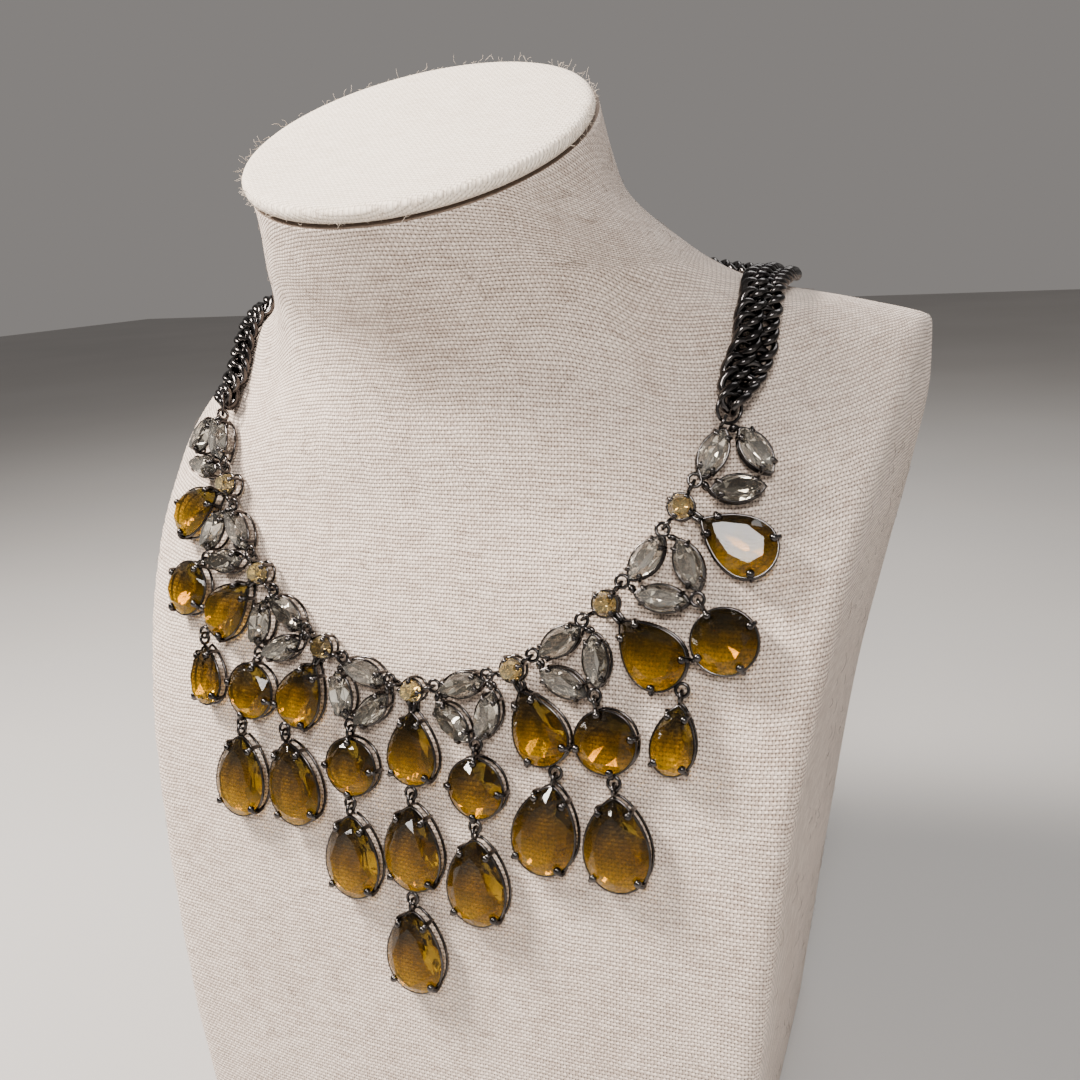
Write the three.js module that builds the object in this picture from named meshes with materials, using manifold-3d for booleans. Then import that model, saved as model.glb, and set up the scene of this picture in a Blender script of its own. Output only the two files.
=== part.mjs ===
import * as THREE from "three";
import { mergeVertices } from "three/addons/utils/BufferGeometryUtils.js";
import Module from "manifold-3d";

const wasm = await Module();
wasm.setup();

// Bust: all lengths in millimetres, +Z up, front facing -Y, origin in the middle of the base.
const bustHeight = 220.3; // base to the middle of the cap
const shoulderWidth = 177;
const bustDepth = 102.2; // front of the base to the flat back
const capWidth = 71.8;
const capDepth = 56;
const capThickness = 3.4;
const capRim = 1.1; // rounding of the cap's edge
const capTilt = 30.8; // degrees forward
const capForward = 23.5; // middle of the cap in front of the middle of the base
const seamGap = 0.35; // between the cap and the neck

// Necklace: stones, length by width. taper: 0 for an oval, 1 for a pear with a sharp tip.
const longPear = { kind: "pear", length: 18, width: 13, taper: 0.45 };
const shortPear = { kind: "pear", length: 15, width: 11, taper: 0.8 };
const smallPear = { kind: "pear", length: 13, width: 8, taper: 0.6 };
const roundStone = { kind: "round", length: 12, width: 12 };
const leafStone = { kind: "leaf", length: 10, width: 5 };
const tinyStone = { kind: "round", length: 4.8, width: 4.8 };

// Settings: two gallery rails round each stone, joined by claws.
const railWire = 0.6;
const railOverhang = 0.3; // rail's outer edge beyond the stone
const upperRailHeight = 2.4; // back of the setting to the middle of the upper rail
const crownRise = 2.5; // middle of the upper rail to the stone's table
const clawWidth = 1;
const clawRise = 0.9; // upper rail to a claw's tip
const broadStone = 5; // a wider stone's setting shows two rails
const waistInset = 0.14; // of the stone's width, between the rails
const tableInset = 0.2; // of the stone's width

// Soldered loops and the links between them.
const loopWire = 0.7;
const loopBore = 1.7;
const linkPlay = 0.4; // free play of one loop in the other
const loopReach = 1.3; // setting's edge to the loop's centre
const endRingBore = 4.6;
const endRingWire = 0.7;
const endRingTurn = 30; // degrees out of the plane of the loop that it hangs in

// The neckline and how the pieces lie on the bust.
const necklineHeight = 117.4; // base to the centre stone
const spacerLoopReach = 4.05; // centre of a small stone to its loop
const clusterSpan = 12; // between the two upper loops of a cluster
const clusterDrop = 12.8; // upper loops' line to the lower loop
const clusterPitch = 7.8; // between the middles of two leaf stones
const clusterMiddle = -5.4; // upper loops' line to the middle of the three leaf stones
const jointLength = 2.5; // solder between two leaf stones' tips
const jointWidth = 1.1;
const solderedPearDrop = 11.9; // small stone to the pear soldered under it
const solderWidth = 1.6;
const seatGap = 0.8; // linen to the back of a setting

// Chains: on each side two curb chains side by side, made as one band with a loop at each end.
const chainWidth = 9.2;
const chainThickness = 2.8;
const chainGap = 0.9; // linen to the chain
const gatheredWidth = 3.2; // where the links gather on a ring
const chainLoopBore = 2.6;
const chainLoopWire = 1.1;
const claspLength = 13;
const claspWidth = 6;
const claspThickness = 1.2;
const claspBore = 3.2; // hole at each end of the clasp
const claspWall = 1.5; // hole to the clasp's end

// Faces round a loop, round its wire, round the cap and round each end of the clasp.
const loopSides = 10;
const wireSides = 5;
const capSides = 20;
const claspSides = 5;

const seamTolerance = 0.05; // slivers below it along a joint are left out

const degrees = Math.PI / 180;
const loopRadius = (loopBore + loopWire) / 2;
const linkStep = 2 * loopRadius - loopWire - linkPlay;
const endRingRadius = (endRingBore + endRingWire) / 2;
const chainLoopRadius = (chainLoopBore + chainLoopWire) / 2;

// Bust sections, from the base up. height: share of bustHeight. halfWidth: share of shoulderWidth.
// front and halfDepth: shares of bustDepth. power: squareness of the section.
const bustSections = [
  { height: 0, halfWidth: 1.118, front: -0.5, halfDepth: 0.838, power: 2.13 },
  { height: 0.0635, halfWidth: 1.121, front: -0.498, halfDepth: 0.829, power: 2.22 },
  { height: 0.2539, halfWidth: 1.13, front: -0.463, halfDepth: 0.774, power: 2.49 },
  { height: 0.4134, halfWidth: 1.103, front: -0.419, halfDepth: 0.738, power: 2.63 },
  { height: 0.5268, halfWidth: 0.964, front: -0.375, halfDepth: 0.759, power: 2.4 },
  { height: 0.6169, halfWidth: 0.819, front: -0.333, halfDepth: 0.798, power: 2.23 },
  { height: 0.6994, halfWidth: 0.686, front: -0.303, halfDepth: 0.857, power: 2.06 },
  { height: 0.7622, halfWidth: 0.593, front: -0.304, halfDepth: 0.877, power: 1.84 },
  { height: 0.8035, halfWidth: 0.537, front: -0.323, halfDepth: 0.821, power: 1.6 },
  { height: 0.8354, halfWidth: 0.429, front: -0.352, halfDepth: 0.661, power: 1.55 },
  { height: 0.8626, halfWidth: 0.316, front: -0.385, halfDepth: 0.52, power: 1.68 },
  { height: 0.8991, halfWidth: 0.254, front: -0.425, halfDepth: 0.421, power: 1.91 },
  { height: 0.9582, halfWidth: 0.204, front: -0.486, halfDepth: 0.336, power: 2.05 },
  { height: 1.0764, halfWidth: 0.197, front: -0.575, halfDepth: 0.288, power: 2.19 },
];

// Side walls. height: share of bustHeight. front and back: half widths as shares of shoulderWidth.
const sideWall = [
  { height: 0, front: 0.37, back: 0.343 },
  { height: 0.0635, front: 0.379, back: 0.353 },
  { height: 0.2539, front: 0.405, back: 0.384 },
  { height: 0.4312, front: 0.425, back: 0.416 },
  { height: 0.5718, front: 0.446, back: 0.453 },
  { height: 0.6628, front: 0.457, back: 0.479 },
  { height: 0.7669, front: 0.468, back: 0.5 },
  { height: 0.826, front: 0.497, back: 0.499 },
  { height: 1.142, front: 0.497, back: 0.495 },
];

// Angles round a section where its points lie, from the front to the back, in degrees.
const sectionAngles = [0, 6, 12, 18, 25, 34, 46, 62, 80, 102, 128, 154, 180];

// Extra heights of sections between the rows of the table, as shares of bustHeight.
const sectionHeights = [
  0, 0.0635, 0.2539, 0.3449, 0.4387, 0.5268, 0.6169, 0.6994, 0.7622, 0.8035, 0.8354, 0.8626, 0.8804,
  0.8991, 0.9263, 0.9582, 1.0764,
];

// Directions of the neckline from one small stone to the next, in degrees above level.
const necklineHeadings = [17, 38.5, 55, 64];

// Monotone cubic through the rows of a table, so that no bulge appears between two rows.
function tableCurve(rows, column) {
  const x = rows.map((row) => row.height);
  const y = rows.map((row) => row[column]);
  const slope = y.slice(1).map((value, i) => (value - y[i]) / (x[i + 1] - x[i]));
  const tangent = y.map((_, i) => {
    if (i === 0) return slope[0];
    if (i === y.length - 1) return slope[i - 1];
    if (slope[i - 1] * slope[i] <= 0) return 0;
    return 2 / (1 / slope[i - 1] + 1 / slope[i]);
  });
  return (height) => {
    const last = x.length - 2;
    const i = Math.min(last, Math.max(0, x.findIndex((value) => value > height) - 1));
    const k = height >= x[last + 1] ? last : i;
    const h = x[k + 1] - x[k];
    const t = (height - x[k]) / h;
    const t2 = t * t;
    const t3 = t2 * t;
    return (
      (2 * t3 - 3 * t2 + 1) * y[k] +
      (t3 - 2 * t2 + t) * h * tangent[k] +
      (3 * t2 - 2 * t3) * y[k + 1] +
      (t3 - t2) * h * tangent[k + 1]
    );
  };
}

const sectionHalfWidth = tableCurve(bustSections, "halfWidth");
const sectionFront = tableCurve(bustSections, "front");
const sectionHalfDepth = tableCurve(bustSections, "halfDepth");
const sectionPower = tableCurve(bustSections, "power");

function bustSection(z) {
  const share = z / bustHeight;
  const halfDepth = sectionHalfDepth(share) * bustDepth;
  return {
    halfWidth: sectionHalfWidth(share) * shoulderWidth,
    halfDepth,
    middle: sectionFront(share) * bustDepth + halfDepth,
    power: sectionPower(share),
  };
}

// Below zero inside the bust, zero on the linen.
function bustField(p) {
  const s = bustSection(p.z);
  const across = Math.abs(p.x / s.halfWidth) ** s.power;
  const along = Math.abs((p.y - s.middle) / s.halfDepth) ** s.power;
  return (across + along) ** (1 / s.power) - 1;
}

const gradientStep = 0.05;
const seatRounds = 12; // steps from a point onto the linen

function bustGradient(p) {
  const slope = (axis) => {
    const ahead = p.clone().addScaledVector(axis, gradientStep);
    const behind = p.clone().addScaledVector(axis, -gradientStep);
    return (bustField(ahead) - bustField(behind)) / (2 * gradientStep);
  };
  return new THREE.Vector3(slope(X_AXIS), slope(Y_AXIS), slope(Z_AXIS));
}

const X_AXIS = new THREE.Vector3(1, 0, 0);
const Y_AXIS = new THREE.Vector3(0, 1, 0);
const Z_AXIS = new THREE.Vector3(0, 0, 1);

// The nearest point on the linen and the outward normal there.
function seat(point) {
  const p = point.clone();
  for (let i = 0; i < seatRounds; i += 1) {
    const g = bustGradient(p);
    p.addScaledVector(g, -bustField(p) / g.lengthSq());
  }
  return { point: p, normal: bustGradient(p).normalize() };
}

// How far a point is off the linen.
function clearance(point) {
  return bustField(point) / bustGradient(point).length();
}

// A point that stands off the linen by a height.
function standOff(point, height) {
  const s = seat(point);
  return s.point.addScaledVector(s.normal, height);
}

// Closed solid through rings of points, each ring counterclockwise seen from the last one.
function loft(rings) {
  const count = rings[0].length;
  const points = rings.flat();
  const index = [];
  for (let start = 0; start < points.length - count; start += count) {
    for (let i = 0; i < count; i += 1) {
      const next = (i + 1) % count;
      index.push(start + i, start + next, start + count + next);
      index.push(start + i, start + count + next, start + count + i);
    }
  }
  const top = points.length - count;
  for (let i = 1; i < count - 1; i += 1) {
    index.push(0, i + 1, i);
    index.push(top, top + i, top + i + 1);
  }
  return new THREE.BufferGeometry().setFromPoints(points).setIndex(index);
}

// A three.js geometry as a solid that can be joined and cut.
function solid(geometry) {
  geometry.deleteAttribute("normal");
  geometry.deleteAttribute("uv");
  const merged = mergeVertices(geometry, 1e-4);
  const vertProperties = new Float32Array(merged.getAttribute("position").array);
  const corners = Array.from(merged.index.array);
  const triangles = corners.filter((_, i) => {
    const [a, b, c] = corners.slice(i - (i % 3), i - (i % 3) + 3);
    return a !== b && b !== c && c !== a;
  });
  const triVerts = new Uint32Array(triangles);
  return new wasm.Manifold(new wasm.Mesh({ numProp: 3, vertProperties, triVerts }));
}

function geometryOf(joined) {
  const mesh = joined.getMesh();
  return new THREE.BufferGeometry()
    .setAttribute("position", new THREE.BufferAttribute(mesh.vertProperties, 3))
    .setIndex(new THREE.BufferAttribute(mesh.triVerts, 1));
}

function fuse(geometries) {
  const joined = geometries.map(solid).reduce((all, next) => all.add(next));
  return geometryOf(joined.simplify(seamTolerance));
}

// Bust.
function sectionRing(z) {
  const s = bustSection(z);
  const right = sectionAngles.map((angle) => {
    const across = Math.sin(angle * degrees) ** (2 / s.power);
    const cosine = Math.cos(angle * degrees);
    const along = Math.sign(cosine) * Math.abs(cosine) ** (2 / s.power);
    return new THREE.Vector3(across * s.halfWidth, s.middle - along * s.halfDepth, z);
  });
  const left = right.slice(1, -1).reverse();
  return [...right, ...left.map((p) => new THREE.Vector3(-p.x, p.y, p.z))];
}

function wallRing(y, column) {
  const right = sideWall.map((row) => {
    return new THREE.Vector3(row[column] * shoulderWidth, y, row.height * bustHeight);
  });
  right[0].z -= bustHeight;
  const left = right.map((p) => new THREE.Vector3(-p.x, p.y, p.z));
  return [...left, ...right.reverse()];
}

const capNormal = Z_AXIS.clone().applyAxisAngle(X_AXIS, capTilt * degrees);
const capMiddle = new THREE.Vector3(0, -capForward, bustHeight);

function bustBodyGeometry() {
  const form = solid(loft(sectionHeights.map((share) => sectionRing(share * bustHeight))));
  const walls = solid(
    loft([
      wallRing(-bustDepth, "front"),
      wallRing(-bustDepth / 2, "front"),
      wallRing(bustDepth / 2, "back"),
    ]),
  );
  const above = new THREE.BoxGeometry(2 * shoulderWidth, 2 * bustDepth, bustHeight);
  above.translate(0, 0, bustHeight / 2 - capThickness / 2 - seamGap);
  above.rotateX(capTilt * degrees);
  above.translate(...capMiddle);
  return geometryOf(form.intersect(walls).subtract(solid(above)));
}

// Cloth-covered disc with a rounded rim on the neck.
function bustCapGeometry() {
  const half = capThickness / 2;
  const radius = capWidth / 2;
  const profile = [
    [0, -half],
    [radius - capRim, -half],
    [radius, -half + capRim],
    [radius, half - capRim],
    [radius - capRim, half],
    [0, half],
  ].map(([x, y]) => new THREE.Vector2(x, y));
  const cap = new THREE.LatheGeometry(profile, capSides);
  cap.rotateX(Math.PI / 2);
  cap.scale(1, capDepth / capWidth, 1);
  cap.rotateX(capTilt * degrees);
  cap.translate(...capMiddle);
  return geometryOf(solid(cap));
}

// Outline of a stone with its point up, grown or shrunk by an overhang, counterclockwise.
function outlinePoint(stone, overhang, turn) {
  const halfLength = stone.length / 2 + overhang;
  const halfWidth = stone.width / 2 + overhang;
  const y = Math.cos(turn) * halfLength;
  const side = -Math.sin(turn);
  if (stone.kind === "pear") {
    const widest = Math.atan(Math.sqrt(1 + stone.taper));
    const fullWidth = Math.sin(2 * widest) * Math.sin(widest) ** stone.taper;
    return new THREE.Vector2((halfWidth * side * Math.sin(turn / 2) ** stone.taper) / fullWidth, y);
  }
  if (stone.kind === "leaf") {
    const radius = (halfLength ** 2 + halfWidth ** 2) / (2 * halfWidth);
    const bulge = Math.sqrt(radius ** 2 - y ** 2) - radius + halfWidth;
    return new THREE.Vector2(Math.sign(side) * Math.max(0, bulge), y);
  }
  return new THREE.Vector2(halfWidth * side, y);
}

// Turns round a stone, in degrees from its point: its claws and the plain points between them.
const clawTurns = {
  pear: [42, 138, 222, 318],
  round: [0, 90, 180, 270],
  leaf: [45, 135, 225, 315],
};
const plainTurns = {
  pear: [0, 90, 180, 270],
  round: [45, 135, 225, 315],
  leaf: [0, 90, 180, 270],
};

function outlineTurns(stone) {
  const shoulder = clawWidth / stone.width / degrees;
  const clawSides = stone.width > broadStone ? [-shoulder, shoulder] : [];
  const claws = clawTurns[stone.kind].flatMap((claw) => [
    { turn: claw, corner: claw, isClaw: true },
    ...clawSides.map((side) => ({ turn: claw + side, corner: claw })),
  ]);
  const plain = plainTurns[stone.kind].map((turn) => ({ turn, corner: turn }));
  return [...claws, ...plain].sort((one, other) => one.turn - other.turn);
}

function outlineRing(stone, overhang, z, clawLift = 0) {
  return outlineTurns(stone).map(({ turn, isClaw }) => {
    const lift = isClaw ? clawLift : 0;
    const p = outlinePoint(stone, overhang + lift / 2, turn * degrees);
    return new THREE.Vector3(p.x, p.y, z + lift);
  });
}

// The same outline with one corner for each claw, its shoulders drawn together.
function cornerRing(stone, overhang, z) {
  return outlineTurns(stone).map(({ corner }) => {
    const p = outlinePoint(stone, overhang, corner * degrees);
    return new THREE.Vector3(p.x, p.y, z);
  });
}

// Lower rail, the stone's waist, the upper rail with its claws, and the crown up to the table.
function setStone(stone) {
  const upper = [
    outlineRing(stone, railOverhang, upperRailHeight, clawRise),
    cornerRing(stone, -tableInset * stone.width, upperRailHeight + crownRise),
  ];
  if (stone.width <= broadStone) return loft([outlineRing(stone, 0, 0), ...upper]);
  return loft([
    outlineRing(stone, railOverhang, 0),
    cornerRing(stone, -waistInset * stone.width, upperRailHeight / 2),
    ...upper,
  ]);
}

// Loop that lies in the plane of its piece.
function flatLoop(x, y) {
  const loop = new THREE.TorusGeometry(loopRadius, loopWire / 2, wireSides, loopSides);
  return loop.translate(x, y, upperRailHeight);
}

// Loop that stands on edge, in the plane of the normal and of a direction.
function edgeLoop(x, y, turn) {
  const loop = new THREE.TorusGeometry(loopRadius, loopWire / 2, wireSides, loopSides);
  loop.rotateX(Math.PI / 2);
  loop.rotateZ(turn);
  return loop.translate(x, y, upperRailHeight);
}

function edgeOf(stone) {
  return stone.length / 2 + railOverhang;
}

// Materials.
const linen = new THREE.MeshStandardMaterial({ color: 0xe6ddd2, roughness: 0.95 });
const metal = new THREE.MeshStandardMaterial({ color: 0x2b2a2d, roughness: 0.25, metalness: 1 });
const amber = new THREE.MeshStandardMaterial({ color: 0x8a5a12, roughness: 0.08 });
const clear = new THREE.MeshStandardMaterial({ color: 0xb9b6ae, roughness: 0.08 });

function named(name, geometry, material) {
  const mesh = new THREE.Mesh(geometry, material);
  mesh.name = name;
  return mesh;
}

// Place of a piece whose loops' level passes through a point, with its own up and outward ways.
function placeAt(point, up, normal) {
  const outward = normal.clone().addScaledVector(up, -normal.dot(up)).normalize();
  const right = up.clone().cross(outward);
  const origin = point.clone().addScaledVector(outward, -upperRailHeight);
  return new THREE.Matrix4().makeBasis(right, up, outward).setPosition(origin);
}

function placed(mesh, matrix) {
  matrix.decompose(mesh.position, mesh.quaternion, mesh.scale);
  return mesh;
}

const loopLevel = seatGap + upperRailHeight;

function onLinen(point) {
  return standOff(point, loopLevel);
}

function towards(from, to) {
  return to.clone().sub(from).normalize();
}

// A way down the linen that leans outwards from plumb by an angle in degrees.
function plumb(normal, lean) {
  const way = new THREE.Vector3(Math.sin(lean * degrees), 0, -Math.cos(lean * degrees));
  return way.addScaledVector(normal, -way.dot(normal)).normalize();
}

// Steps along the neckline: small stone to the middle of a cluster, and on to the end ring.
const clusterStep = spacerLoopReach + linkStep + clusterSpan / 2;
const endStep = endRingRadius + loopRadius - (endRingWire + loopWire) / 2 - linkPlay;
const endRingStep = clusterSpan / 2 + endStep;

function stepAlong(from, heading, step) {
  const level = new THREE.Vector3(Math.cos(heading * degrees), 0, Math.sin(heading * degrees));
  const normal = seat(from).normal;
  const ahead = level.addScaledVector(normal, -level.dot(normal)).normalize();
  const target = onLinen(from.clone().addScaledVector(ahead, step));
  return from.clone().addScaledVector(towards(from, target), step);
}

// Small stones and cluster middles of the right half, from the centre to the end ring.
function walkNeckline() {
  const smallStones = [onLinen(new THREE.Vector3(0, -bustDepth / 2, necklineHeight))];
  const clusters = [];
  necklineHeadings.forEach((heading, i) => {
    clusters.push(stepAlong(smallStones[i], heading, clusterStep));
    const step = i === necklineHeadings.length - 1 ? endRingStep : clusterStep;
    smallStones.push(stepAlong(clusters[i], heading, step));
  });
  const endRing = smallStones.pop();
  return { smallStones, clusters, endRing };
}

const neckline = walkNeckline();

// A small stone, the pear soldered under it and its loops, which reach for its neighbours' loops.
function stationGeometry(pear, pearPlace, neighbourLoops, hasDrop) {
  const solderTop = edgeOf(tinyStone) - railWire;
  const solderBottom = solderedPearDrop - edgeOf(pear) + railWire;
  const solder = new THREE.BoxGeometry(solderWidth, solderBottom - solderTop, upperRailHeight);
  solder.translate(0, -(solderTop + solderBottom) / 2, upperRailHeight / 2 + railWire / 2);
  const middle = new THREE.Vector3(0, 0, upperRailHeight);
  const loops = neighbourLoops.map((loop) => {
    const way = towards(middle, loop);
    const centre = loop.clone().addScaledVector(way, -linkStep).sub(middle);
    return edgeLoop(0, 0, Math.atan2(way.y, way.x)).translate(...centre);
  });
  const pearPieces = [setStone(pear)];
  if (hasDrop) pearPieces.push(flatLoop(0, -edgeOf(pear) - loopReach));
  pearPieces.forEach((piece) => piece.applyMatrix4(pearPlace));
  return fuse([setStone(tinyStone), solder, ...pearPieces, ...loops]);
}

// Three leaf stones in a triangle, soldered where their tips meet.
function clusterGeometry(hasDrop, isLast) {
  const toLeaf = clusterPitch / Math.sqrt(3);
  const leaf = setStone(leafStone).rotateZ(90 * degrees).translate(0, toLeaf, 0);
  const toCorner = Math.hypot(toLeaf, edgeOf(leafStone)) - jointWidth / 4;
  const joint = new THREE.BoxGeometry(jointLength, jointWidth, upperRailHeight);
  joint.translate(0, -toCorner, (upperRailHeight + railWire) / 2);
  const pieces = [
    ...[0, 120, 240].map((third) => leaf.clone().rotateZ(third * degrees)),
    ...[118, 242].map((corner) => joint.clone().rotateZ(corner * degrees)),
  ].map((piece) => piece.translate(0, clusterMiddle, 0));
  const outerLoop = isLast ? edgeLoop(clusterSpan / 2, 0, 0) : flatLoop(clusterSpan / 2, 0);
  const loops = [flatLoop(-clusterSpan / 2, 0), outerLoop];
  if (hasDrop) loops.push(flatLoop(0, -clusterDrop));
  return fuse([...pieces, ...loops]);
}

function dropGeometry(stone, hasNext) {
  const reach = edgeOf(stone) + loopReach;
  const loops = [edgeLoop(0, reach, Math.PI / 2)];
  if (hasNext) loops.push(flatLoop(0, -reach));
  return fuse([setStone(stone), ...loops]);
}

// Hangs a column of drops from a loop.
function hangDrops(group, loop, column, suffix) {
  let from = loop;
  column.forEach(({ name, stone, lean }, i) => {
    const reach = edgeOf(stone) + loopReach;
    const way = plumb(seat(from).normal, lean);
    const middle = onLinen(from.clone().addScaledVector(way, linkStep + reach));
    const down = towards(from, middle);
    const centre = from.clone().addScaledVector(down, linkStep + reach);
    const mesh = named(name + suffix, dropGeometry(stone, i < column.length - 1), amber);
    group.add(placed(mesh, placeAt(centre, down.clone().negate(), seat(centre).normal)));
    from = centre.clone().addScaledVector(down, reach);
  });
}

// What hangs under each small stone and each cluster, from the centre outwards.
// lean: degrees outwards from plumb, as the neighbours push each drop aside.
const stationDrops = [
  {
    pear: shortPear,
    column: [
      { name: "centre_drop_upper", stone: longPear, lean: 0 },
      { name: "centre_drop_lower", stone: longPear, lean: 0 },
    ],
  },
  { pear: shortPear, column: [{ name: "station_1_drop", stone: longPear, lean: -10 }] },
  { pear: shortPear, column: [{ name: "station_2_drop", stone: smallPear, lean: -8 }] },
  { pear: shortPear, column: [] },
];

const clusterDrops = [
  [
    { name: "cluster_1_round", stone: roundStone, lean: 0 },
    { name: "cluster_1_drop", stone: longPear, lean: 0 },
  ],
  [
    { name: "cluster_2_round", stone: roundStone, lean: 14.5 },
    { name: "cluster_2_drop", stone: longPear, lean: 3 },
  ],
  [{ name: "cluster_3_round", stone: roundStone, lean: 33 }],
  [],
];

function mirrored(point) {
  return new THREE.Vector3(-point.x, point.y, point.z);
}

// The plane of a cluster and its two upper loops.
function clusterFrame(i) {
  const middle = neckline.clusters[i];
  const after = neckline.smallStones[i + 1] ?? neckline.endRing;
  const along = towards(neckline.smallStones[i], after);
  const across = along.clone().cross(seat(middle).normal).normalize();
  const face = seat(middle.clone().addScaledVector(across, clusterDrop / 2)).normal;
  face.addScaledVector(along, -face.dot(along)).normalize();
  const up = face.clone().cross(along);
  const place = placeAt(middle, up, face);
  const inner = middle.clone().addScaledVector(along, -clusterSpan / 2);
  const outer = middle.clone().addScaledVector(along, clusterSpan / 2);
  return { place, along, face, inner, outer };
}

const clusterFrames = neckline.clusters.map((_, i) => clusterFrame(i));

function addStation(group, i, suffix) {
  const here = neckline.smallStones[i];
  const normal = seat(here).normal;
  const after = clusterFrames[i].inner;
  const before = i === 0 ? mirrored(after) : clusterFrames[i - 1].outer;
  const across = towards(before, after).cross(normal).normalize();
  const pearMiddle = onLinen(here.clone().addScaledVector(across, solderedPearDrop));
  const down = towards(here, pearMiddle);
  pearMiddle.copy(here).addScaledVector(down, solderedPearDrop);
  const station = placeAt(here, down.clone().negate(), normal);
  const pearNormal = seat(pearMiddle).normal;
  const pearWay = down.clone().addScaledVector(pearNormal, -down.dot(pearNormal)).normalize();
  const pearPlace = placeAt(pearMiddle, pearWay.clone().negate(), pearNormal);
  const toLocal = station.clone().invert();
  const neighbourLoops = [before, after].map((loop) => loop.clone().applyMatrix4(toLocal));
  const { pear, column } = stationDrops[i];
  const hasDrop = column.length > 0;
  const geometry = stationGeometry(pear, toLocal.multiply(pearPlace), neighbourLoops, hasDrop);
  group.add(placed(named("station_" + i + suffix, geometry, amber), station));
  const loop = pearMiddle.clone().addScaledVector(pearWay, edgeOf(pear) + loopReach);
  hangDrops(group, loop, column, suffix);
}

function addCluster(group, i, suffix) {
  const { place } = clusterFrames[i];
  const column = clusterDrops[i];
  const isLast = i === clusterFrames.length - 1;
  const geometry = clusterGeometry(column.length > 0, isLast);
  group.add(placed(named("cluster_" + (i + 1) + suffix, geometry, clear), place));
  const loop = new THREE.Vector3(0, -clusterDrop, upperRailHeight).applyMatrix4(place);
  hangDrops(group, loop, column, suffix);
}

// A ring round a point, its plane holding a direction and turned about it out of a plane.
function ringAt(centre, along, face, turn, radius, wire) {
  const normal = face.clone().applyAxisAngle(along, turn * degrees);
  const ring = new THREE.TorusGeometry(radius, wire / 2, wireSides, loopSides);
  const side = normal.clone().cross(along);
  return ring.applyMatrix4(new THREE.Matrix4().makeBasis(along, side, normal).setPosition(centre));
}

// The last cluster's directions and the end ring that hangs in its outer loop.
const neckEnd = clusterFrames[clusterFrames.length - 1];
neckEnd.endRing = neckEnd.outer.clone().addScaledVector(neckEnd.along, endStep);

function endRingGeometry() {
  const { along, face, endRing } = neckEnd;
  const ring = ringAt(endRing, along, face, endRingTurn, endRingRadius, endRingWire);
  return geometryOf(solid(ring));
}

// Points that a chain passes, from the end ring over the shoulder to the nape, as shares of
// shoulderWidth, bustDepth and bustHeight.
const chainRoutes = {
  _right: [
    [0.344, -0.07, 0.812],
    [0.346, -0.035, 0.844],
    [0.336, 0.07, 0.862],
    [0.328, 0.24, 0.865],
    [0.305, 0.42, 0.86],
    [0.23, 0.475, 0.868],
    [0.12, 0.475, 0.882],
  ],
  _left: [
    [0.345, -0.085, 0.79],
    [0.34, -0.03, 0.822],
    [0.33, 0.07, 0.855],
    [0.325, 0.24, 0.865],
    [0.305, 0.42, 0.86],
    [0.23, 0.475, 0.868],
    [0.12, 0.475, 0.882],
  ],
};
const napeBack = 0.47; // of bustDepth, behind the middle of the base
const napeHeight = 0.885; // of bustHeight
const chainSteps = 16;
const gatherShare = 0.14; // of the chain's length, over which it widens from its ring

const nape = onLinen(new THREE.Vector3(0, napeBack * bustDepth, napeHeight * bustHeight));

// Band of two strands side by side: the outline of its section, counterclockwise.
function chainSection(centre, side, normal, width) {
  const high = chainThickness / 2;
  return [
    [width / 2, 0],
    [width / 3, high],
    [-width / 3, high],
    [-width / 2, 0],
    [-width / 3, -high],
    [width / 3, -high],
  ].map(([x, z]) => centre.clone().addScaledVector(side, x).addScaledVector(normal, z));
}

function chainGeometry(route) {
  const { along, face, endRing } = neckEnd;
  const play = (chainLoopWire + endRingWire) / 2 + linkPlay;
  const start = endRing.clone().addScaledVector(along, endRingRadius + chainLoopRadius - play);
  const end = nape.clone();
  end.x += (claspLength - claspWall) / 2;
  const between = route.map(([x, y, z]) => {
    return new THREE.Vector3(x * shoulderWidth, y * bustDepth, z * bustHeight);
  });
  const startBand = start.clone().addScaledVector(along, chainLoopRadius);
  const endBand = end.clone();
  endBand.x += chainLoopRadius;
  const curve = new THREE.CatmullRomCurve3([startBand, ...between, endBand]);
  const spots = curve.getSpacedPoints(chainSteps).map((point, i) => {
    const share = Math.min(1, i / chainSteps / gatherShare, (1 - i / chainSteps) / gatherShare);
    const height = loopLevel + (chainGap + chainThickness / 2 - loopLevel) * share;
    const width = gatheredWidth + (chainWidth - gatheredWidth) * share;
    const { point: foot, normal } = seat(point);
    return { centre: foot.addScaledVector(normal, height), normal, width };
  });
  const rings = spots.map(({ centre, normal, width }, i) => {
    const before = spots[Math.max(0, i - 1)].centre;
    const after = spots[Math.min(chainSteps, i + 1)].centre;
    const side = normal.clone().cross(towards(before, after)).normalize();
    const lowest = Math.min(...chainSection(centre, side, normal, width).map(clearance));
    const raised = centre.clone().addScaledVector(normal, Math.max(0, chainGap - lowest));
    return chainSection(raised, side, normal, width);
  });
  const startLoop = ringAt(start, along, face, endRingTurn - 90, chainLoopRadius, chainLoopWire);
  const endLoop = ringAt(end, X_AXIS, seat(end).normal, 90, chainLoopRadius, chainLoopWire);
  return fuse([startLoop, loft(rings), endLoop]);
}

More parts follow.
